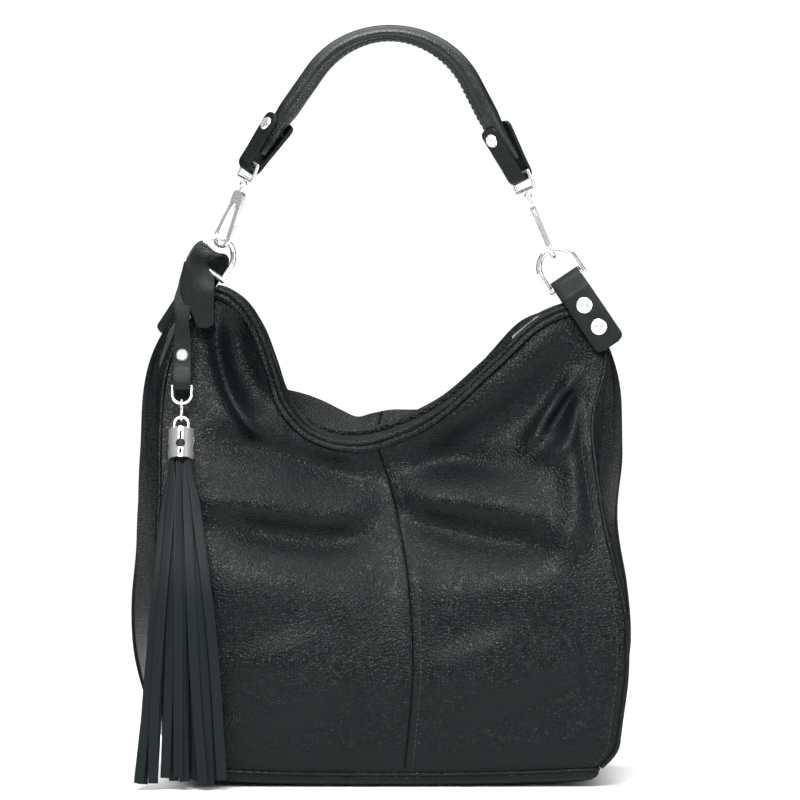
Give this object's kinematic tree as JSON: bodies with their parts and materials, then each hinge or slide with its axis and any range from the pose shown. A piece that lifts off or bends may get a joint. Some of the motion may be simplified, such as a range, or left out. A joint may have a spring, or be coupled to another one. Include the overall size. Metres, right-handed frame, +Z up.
{
  "type": "hobo bag",
  "caption": "Slouchy pebbled-leather hobo bag with a recessed top zip, clip-on rolled handle on D-rings and a tassel with a metal cap.",
  "frame": {"origin": "on the floor under the middle of the base", "axes": "+Z up; the front, with the tassel, faces -Y; +X to the right as seen from the front"},
  "size_m": [0.3542, 0.1552, 0.5274],
  "materials": {
    "body_leather": "satin",
    "strap_leather": "satin",
    "fringe_leather": "matte",
    "lining": "matte",
    "zip_tape": "matte",
    "core_cord": "matte",
    "board": "matte",
    "nickel": "polished"
  },
  "bodies": {
    "bag": {"front_panel_left": "body_leather", "front_panel_right": "body_leather", "back_panel_left": "body_leather", "back_panel_right": "body_leather", "gusset_left": "body_leather", "gusset_right": "body_leather", "base_panel": "body_leather", "base_board": "board", "lining_front": "lining", "lining_back": "lining", "lining_left": "lining", "lining_right": "lining", "lining_floor": "lining", "inner_pocket": "lining", "rim_band_front": "body_leather", "rim_band_back": "body_leather", "seam_binding_front_left": "body_leather", "seam_binding_front_right": "body_leather", "seam_binding_back_left": "body_leather", "seam_binding_back_right": "body_leather", "zip_tape_front": "zip_tape", "zip_tape_back": "zip_tape", "zip_teeth_front": "zip_tape", "zip_teeth_back": "zip_tape", "tab_left": "strap_leather", "tab_right": "strap_leather", "tab_rivets_left": "nickel", "tab_rivets_right": "nickel"},
    "zip_slider": {"zip_slider": "nickel"},
    "zip_pull": {"zip_pull": "nickel"},
    "d_ring_left": {"d_ring_left": "nickel"},
    "d_ring_right": {"d_ring_right": "nickel"},
    "handle": {"handle_cover": "strap_leather", "handle_core": "core_cord", "handle_end_left": "strap_leather", "handle_end_right": "strap_leather", "handle_rivet_left": "nickel", "handle_rivet_right": "nickel", "swivel_bail_left": "nickel", "swivel_bail_right": "nickel"},
    "hook_left": {"hook_body_left": "nickel", "lever_pin_left": "nickel", "lever_spring_left": "nickel"},
    "hook_right": {"hook_body_right": "nickel", "lever_pin_right": "nickel", "lever_spring_right": "nickel"},
    "lever_left": {"hook_lever_left": "nickel"},
    "lever_right": {"hook_lever_right": "nickel"},
    "tassel_strap": {"tassel_strap": "strap_leather", "tassel_strap_rivet": "nickel"},
    "tassel_shackle": {"tassel_shackle": "nickel"},
    "tassel_link": {"tassel_link": "nickel"},
    "tassel": {"tassel_cap_bail": "nickel", "tassel_cap": "nickel", "tassel_core": "strap_leather", "tassel_fringe_outer": "fringe_leather", "tassel_fringe_inner": "fringe_leather"}
  },
  "joints": [
    {"name": "ring_swing", "type": "hinge", "parent": "bag", "child": "d_ring_left", "pos_m": [-0.121, 0, 0.355], "axis": [0.9995, 0, -0.0319], "range_deg": [-90, 90], "deforming": ["tab_left", "tab_right", "tassel_strap"]},
    {"name": "ring_swing_right", "type": "hinge", "parent": "bag", "child": "d_ring_right", "pos_m": [0.13, 0, 0.347], "axis": [0.9995, 0, -0.0319], "range_deg": [-90, 90]},
    {"name": "handle_swing", "type": "hinge", "parent": "d_ring_left", "child": "handle", "pos_m": [-0.11124, 0.00563, 0.37714], "axis": [0.9991, -0.0245, -0.0356], "range_deg": [-30, 7]},
    {"name": "swivel_left", "type": "hinge", "parent": "handle", "child": "hook_left", "pos_m": [-0.11124, 0.00563, 0.37714], "axis": [0.3617, -0.1007, 0.9268], "range_deg": [-8, 8]},
    {"name": "swivel_right", "type": "hinge", "parent": "handle", "child": "hook_right", "pos_m": [0.11829, 0, 0.36896], "axis": [-0.3875, 0, 0.9219], "range_deg": [-25, 25]},
    {"name": "lever_left_press", "type": "hinge", "parent": "hook_left", "child": "lever_left", "pos_m": [-0.10199, 0.00356, 0.40459], "axis": [-0.5235, -0.8446, 0.1126], "range_deg": [0, 15], "stiffness_Nm_per_rad": 0.03, "springref_deg": -11.46, "deforming": ["lever_spring_left"]},
    {"name": "lever_right_press", "type": "hinge", "parent": "hook_right", "child": "lever_right", "pos_m": [0.10706, -0.0016, 0.3957], "axis": [0.9219, 0, 0.3875], "range_deg": [0, 15], "stiffness_Nm_per_rad": 0.03, "springref_deg": -11.46, "deforming": ["lever_spring_right"]},
    {"name": "tassel_lift", "type": "hinge", "parent": "bag", "child": "tassel_strap", "pos_m": [-0.1307, -0.0056, 0.3625], "axis": [1, 0, 0], "range_deg": [-60, 0]},
    {"name": "shackle_lift", "type": "hinge", "parent": "tassel_strap", "child": "tassel_shackle", "pos_m": [-0.138, -0.0292, 0.2745], "axis": [1, 0, 0], "range_deg": [-40, 0]},
    {"name": "tassel_sway", "type": "hinge", "parent": "tassel_shackle", "child": "tassel_link", "pos_m": [-0.138, -0.03351, 0.26266], "axis": [0, 1, 0], "range_deg": [-5, 15]},
    {"name": "tassel_tilt", "type": "hinge", "parent": "tassel_link", "child": "tassel", "pos_m": [-0.138, -0.03693, 0.25326], "axis": [1, 0, 0], "range_deg": [-30, 0]},
    {"name": "zip_slide", "type": "slide", "parent": "bag", "child": "zip_slider", "axis": [-0.766, 0, -0.6428], "range_m": [0, 0.08], "deforming": ["zip_tape_front", "zip_tape_back", "zip_teeth_front", "zip_teeth_back"]},
    {"name": "zip_pull_flip", "type": "hinge", "parent": "zip_slider", "child": "zip_pull", "pos_m": [0.10841, 0, 0.32073], "axis": [0, 1, 0], "range_deg": [0, 110]}
  ],
  "couplings": [
    {"joint": "ring_swing_right", "follows": "ring_swing", "ratio": 1}
  ]
}
